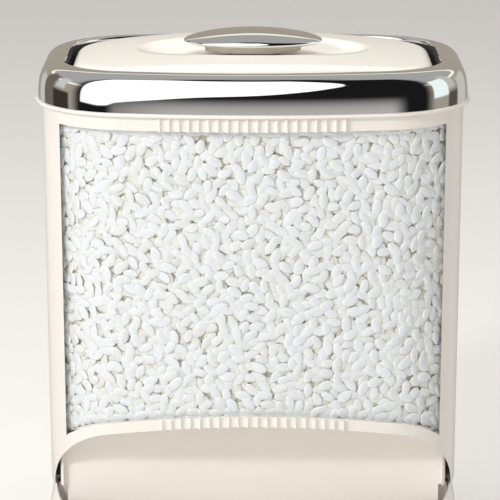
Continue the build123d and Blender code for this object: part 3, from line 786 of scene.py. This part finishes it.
def layFrontGrains():
    # (place, painted shade with a random tone) of every grain in the layers behind the window
    laid = []
    halfLong, halfWide = grain["length"] / 2, grain["width"] / 2
    edgeSteps = int(2 * heap["halfAlong"] / grain["edgeStep"])
    for layer in range(grain["layers"]):
        depth = heap["paneDepth"] + grain["thickness"] / 2 + layer * grain["layerStep"]
        spots = scatter(heap["halfAlong"], heap["low"], heap["top"])
        spots = [(along, z, random.uniform(0, math.tau)) for along, z in spots]
        for level in (None, heap["top"]):  # rows lying along the foot and the top
            for step in range(edgeSteps):
                shifted = step + random.uniform(-grain["edgeJitter"], grain["edgeJitter"])
                along = shifted * grain["edgeStep"] - heap["halfAlong"]
                spots.append((along, level, random.gauss(0, grain["edgeLie"])))
        for along, z, lie in spots:
            upExtent = math.hypot(halfLong * math.sin(lie), halfWide * math.cos(lie))
            sideExtent = math.hypot(halfLong * math.cos(lie), halfWide * math.sin(lie))
            wallInset = insetAt(heap["footLevel"] if z is None else z)
            inset = wallInset + depth + random.uniform(0, grain["jitter"])
            x, y, turn = frontPlace(along, inset, heap["turnLimit"])
            lowest = max(archTop(abs(x) + side * sideExtent) for side in (-1, 0, 1)) + heap["archLift"]
            if z is None:
                z = lowest + upExtent
            if z - upExtent < lowest - weld or z + upExtent > heap["top"] + heap["overTop"]:
                continue
            if abs(x) + sideExtent * math.cos(turn) > heap["footAlong"]:
                continue
            tip = randomTip("X") @ randomTip("Y")
            face = Matrix.Rotation(turn, 4, "Z") @ Matrix.Rotation(math.pi / 2, 4, "X")
            place = Matrix.Translation((x, y, z)) @ face @ tip @ Matrix.Rotation(lie, 4, "Z")
            # painted shade by layer, plus a random tone
            shadeAndTone = layer * grain["layerShade"] + random.uniform(0, grain["darkSpread"])
            laid.append((place, min(1, shadeAndTone)))
    return laid


def layTopGrains():
    # (place, painted shade with a random tone) of every grain in the layers over the top
    laid = []
    halfLong = grain["length"] / 2
    halfX, halfY = plan["halfWidth"] - heap["wallDepth"], plan["halfDepth"] - heap["wallDepth"]
    for layer in range(grain["topLayers"]):
        for x, y in scatter(halfX, -halfY, halfY):
            corner = Vector((abs(x) - cornerX, abs(y) - cornerY))
            if min(corner) > 0 and corner.length > plan["corner"] - heap["wallDepth"] - halfLong:
                continue
            if max(abs(x) - halfX, abs(y) - halfY) > -halfLong:
                continue
            z = heap["top"] - layer * grain["layerStep"] + random.uniform(0, grain["jitter"])
            tip = randomTip("X")
            lie = Matrix.Rotation(random.uniform(0, math.tau), 4, "Z")
            # painted shade by layer, plus a random tone
            shadeAndTone = random.uniform(0, grain["topDarkSpread"]) + grain["topLayerShade"] * layer
            laid.append((Matrix.Translation((x, y, z)) @ tip @ lie, shadeAndTone))
    return laid


def makeRiceBed():
    # packed rice behind and under the loose grains: a curved front and a flat top, wholly in the painted shade
    # of the deep grains
    bm = bmesh.new()
    steps = heap["bedSteps"]
    top = heap["top"] - heap["bedUnder"]
    tops = []
    feet = []
    for step in range(-steps, steps + 1):
        along = heap["halfAlong"] * step / steps
        x, y, _ = frontPlace(along, insetAt(top) + heap["bed"], heap["turnLimit"])
        foot = archTop(x) + heap["archLift"]
        footX, footY, _ = frontPlace(along, insetAt(foot) + heap["bed"], heap["turnLimit"])
        tops.append(bm.verts.new((x, y, top)))
        feet.append(bm.verts.new((footX, footY, foot)))
    for step in range(2 * steps):
        bm.faces.new((feet[step], feet[step + 1], tops[step + 1], tops[step]))
    backs = [bm.verts.new((vert.co.x, -vert.co.y, vert.co.z)) for vert in reversed(tops)]
    bm.faces.new(tops + backs)
    bmesh.ops.recalc_face_normals(bm, faces=bm.faces)
    obj = toObject(bm, "rice_bed")
    # no rim highlight, and the full painted shade
    for label, value in (("rim", 0.0), ("depth", 1.0)):
        attribute = obj.data.attributes.new(label, "FLOAT", "POINT")
        attribute.data.foreach_set("value", [value] * len(obj.data.vertices))
    dress(obj, "rice", "housing")


def makeRice():
    random.seed(11)
    shapes = makeGrainShapes()
    laid = layFrontGrains() + layTopGrains()
    for first in range(0, len(laid), grain["perPiece"]):
        bm = bmesh.new()
        for place, depth in laid[first : first + grain["perPiece"]]:
            size = 1 + random.uniform(-1, 1) * grain["spread"]
            addGrain(bm, random.choice(shapes), place @ Matrix.Scale(size, 4), depth)
        obj = toObject(bm, f"rice_{first // grain['perPiece'] + 1}", math.pi)
        dress(obj, "rice", "housing")
    for shape in shapes:
        bpy.data.meshes.remove(shape)
    print("rice grains:", len(laid))


makeRiceBed()
makeRice()


# Stage, light and camera


def makeStage():
    stage = {
        "size": 12.0,
        "colour": (0.89, 0.88, 0.865),
        "colourPatch": (0.88, 0.87, 0.855),
        "roughness": (0.55, 0.6),
        "patchScale": 0.8,
        "grainScale": 200.0,
    }
    bm = bmesh.new()
    bmesh.ops.create_grid(bm, x_segments=2, y_segments=2, size=stage["size"] / 2)
    floor = toObject(bm, "floor")
    floor.data.materials.append(makeMoulded("pale_floor", stage))
    floor.visible_glossy = False  # the metal mirrors the room's painted table


# What the bright metal mirrors: a big softbox over the front left, black cards in front, a bright strip
# at the far right, a wall behind with dark and pale boards before it, and a table in front. All of it is
# in degrees, as turns from the camera, positive to the right, and rises over the level. A patch is its
# turns, its rises, how soft its edges are, and its colour.
room = {
    "wall": (0.38, 0.345, 0.295),
    "ceiling": (0.40, 0.40, 0.40),
    "ceilingEdge": (20, 24),
    "brightLine": ((60, 400), (21, 26), 1.5, (1.10, 1.04, 0.90)),  # where wall and ceiling meet
    "lift": 14,  # how much higher they meet straight behind
    "liftTurns": (138, 166),
    "boards": (
        ((-122, -84), (-30, 2), 2.5, (0.045, 0.036, 0.030)),
        ((-134, -112), (-12, 30), 2.5, (0.16, 0.14, 0.12)),
        ((-108, -92), (6, 34), 2.5, (0.62, 0.62, 0.62)),
        ((-150, -134), (-30, 10), 2.5, (0.60, 0.58, 0.55)),
        ((104, 124), (-30, -2), 2.5, (0.10, 0.085, 0.07)),
        ((104, 118), (2, 40), 2.5, (0.55, 0.54, 0.52)),
        ((124, 150), (-30, 14), 2.5, (0.58, 0.56, 0.53)),
    ),
    "cards": (0.010, 0.010, 0.011),
    "cardEdge": (66, 84),
    "slit": ((-400, 400), (82, 88), 2, (0.010, 0.010, 0.011)),  # dark ring round the top of the room
    "table": ((-24, 34), (-200, 200), 12, (0.52, 0.50, 0.49)),
    "tableEdge": (-13, 7),
    "softbox": ((-66, 25), (-20, 81), 1.5, (1.35, 1.35, 1.35)),
    "boxTurns": (-95, 25),
    "boxRises": (-10, 90),
    "boxLow": (  # its lower edge
        (-95, 0), (-78, -4), (-59, -5.7), (-40, -6.6), (-28, -5), (-19, 0),
        (-9, 7.7), (1, 12.4), (8, 20), (14.6, 33), (21, 51), (25, 84),
    ),
    "boxEdge": (-0.6, 1.2),
    "strip": ((79, 104), (-4, 33), 1.2, (0.95, 1.04, 1.03)),
}


def between(tree, value, ends, soft):
    # 1 between the two ends
    steps = [smoothStep(tree, value, end - soft, end + soft) for end in ends]
    return calculate(tree, "SUBTRACT", *steps)


def addPatch(tree, colour, turn, rise, patch, mask=1):
    turns, rises, soft, shade = patch
    inside = calculate(tree, "MULTIPLY", between(tree, turn, turns, soft), between(tree, rise, rises, soft))
    return mixColour(tree, calculate(tree, "MULTIPLY", inside, mask), colour, shade)


def curveThrough(tree, value, places, across, up):
    # height of a curve through the places, which lie in the ranges across and up
    width, height = across[1] - across[0], up[1] - up[0]
    spots = [((x - across[0]) / width, (y - up[0]) / height) for x, y in places]
    share = addNode(tree, "ShaderNodeMapRange", {"Value": value, "From Min": across[0], "From Max": across[1]})
    curve = addNode(tree, "ShaderNodeFloatCurve", {"Value": share.outputs["Result"]})
    points = curve.mapping.curves[0].points
    points[0].location = spots[0]
    points[1].location = spots[-1]
    for spot in spots[1:-1]:
        points.new(*spot)
    curve.mapping.update()
    return calculate(tree, "ADD", calculate(tree, "MULTIPLY", curve.outputs["Value"], height), up[0])


def makeSurroundings(tree):
    # the room's colour in each direction
    direction = addNode(tree, "ShaderNodeTexCoord").outputs["Generated"]
    split = addNode(tree, "ShaderNodeSeparateXYZ", {"Vector": direction}).outputs
    forward = calculate(tree, "MULTIPLY", split["Y"], -1)
    turn = calculate(tree, "DEGREES", calculate(tree, "ARCTAN2", split["X"], forward))
    rise = calculate(tree, "DEGREES", calculate(tree, "ARCSINE", split["Z"]))
    around = calculate(tree, "ABSOLUTE", turn)
    lift = calculate(tree, "MULTIPLY", smoothStep(tree, around, *room["liftTurns"]), room["lift"])
    lifted = calculate(tree, "SUBTRACT", rise, lift)
    colour = mixColour(tree, smoothStep(tree, lifted, *room["ceilingEdge"]), room["wall"], room["ceiling"])
    colour = addPatch(tree, colour, around, lifted, room["brightLine"])
    for board in room["boards"]:
        colour = addPatch(tree, colour, turn, rise, board)
    cards = calculate(tree, "SUBTRACT", 1, smoothStep(tree, around, *room["cardEdge"]))
    colour = mixColour(tree, cards, colour, room["cards"])
    colour = addPatch(tree, colour, around, rise, room["slit"])
    below = calculate(tree, "SUBTRACT", 1, smoothStep(tree, rise, *room["tableEdge"]))
    colour = addPatch(tree, colour, turn, rise, room["table"], below)
    lowEdge = curveThrough(tree, turn, room["boxLow"], room["boxTurns"], room["boxRises"])
    above = smoothStep(tree, calculate(tree, "SUBTRACT", rise, lowEdge), *room["boxEdge"])
    colour = addPatch(tree, colour, turn, rise, room["softbox"], above)
    return addPatch(tree, colour, turn, rise, room["strip"])


light = {
    "aim": (0, 0, 0.17),
    "lamps": {  # place, size, radiance and colour
        "keyLamp": ((-1.15, -1.42, 1.16), (0.16, 0.16), 150.0, (1.0, 0.985, 0.96)),
        "frontBox": ((-1.0, -1.25, 0.95), (1.2, 1.0), 1.75, (1.0, 0.99, 0.98)),
        "topBox": ((0.0, 0.25, 1.7), (1.6, 1.3), 1.90, (1.0, 0.99, 0.975)),
    },
    "world": {"Color": (0.98, 0.955, 0.93, 1), "Strength": 0.62},
    "backdrop": {"Color": (0.95, 0.945, 0.94, 1)},
}


def addLamp(name, place, size, radiance, colour):
    lamp = bpy.data.lights.new(name, "AREA")
    lamp.shape = "RECTANGLE"
    lamp.size, lamp.size_y = size
    lamp.energy = radiance * math.pi * size[0] * size[1]
    lamp.color = colour
    obj = bpy.data.objects.new(name, lamp)
    bpy.context.scene.collection.objects.link(obj)
    obj.location = place
    obj.rotation_euler = (Vector(light["aim"]) - Vector(place)).to_track_quat("-Z", "Y").to_euler()
    obj.visible_camera = False
    obj.visible_glossy = False  # the metal mirrors the painted room


def makeLight():
    for name, lamp in light["lamps"].items():
        addLamp(name, *lamp)
    world = bpy.data.worlds.new("studio")
    bpy.context.scene.world = world
    world.use_nodes = True
    tree = world.node_tree
    tree.nodes.clear()
    soft = addNode(tree, "ShaderNodeBackground", light["world"]).outputs["Background"]
    mirrored = addNode(tree, "ShaderNodeBackground", {"Color": makeSurroundings(tree)}).outputs["Background"]
    shown = addNode(tree, "ShaderNodeBackground", light["backdrop"]).outputs["Background"]
    path = addNode(tree, "ShaderNodeLightPath").outputs
    unseen = mixShaders(tree, path["Is Glossy Ray"], soft, mirrored)
    surface = mixShaders(tree, path["Is Camera Ray"], unseen, shown)
    addNode(tree, "ShaderNodeOutputWorld", {"Surface": surface})


def makeCamera():
    view = {
        "framePixels": 500,
        "focalPixels": 2816,
        "sensor": 36.0,
        "elevation": math.radians(13.24),
        "distance": 1.735,
        "lookAt": Vector((0, 0, 0.188)),
        "lookAtPixel": (252.9, 248.8),
    }
    camera = bpy.data.cameras.new("camera")
    camera.sensor_width = view["sensor"]
    camera.lens = view["focalPixels"] * view["sensor"] / view["framePixels"]
    middle = view["framePixels"] / 2
    camera.shift_x = (middle - view["lookAtPixel"][0]) / view["framePixels"]
    camera.shift_y = (view["lookAtPixel"][1] - middle) / view["framePixels"]
    obj = bpy.data.objects.new("camera", camera)
    bpy.context.scene.collection.objects.link(obj)
    back = Vector((0, -math.cos(view["elevation"]), math.sin(view["elevation"])))
    obj.location = view["lookAt"] + view["distance"] * back
    obj.rotation_euler = (math.pi / 2 - view["elevation"], 0, 0)
    bpy.context.scene.camera = obj


makeStage()
makeLight()
makeCamera()
bpy.context.scene.view_settings.view_transform = "Standard"
print("stage, light and camera are set")
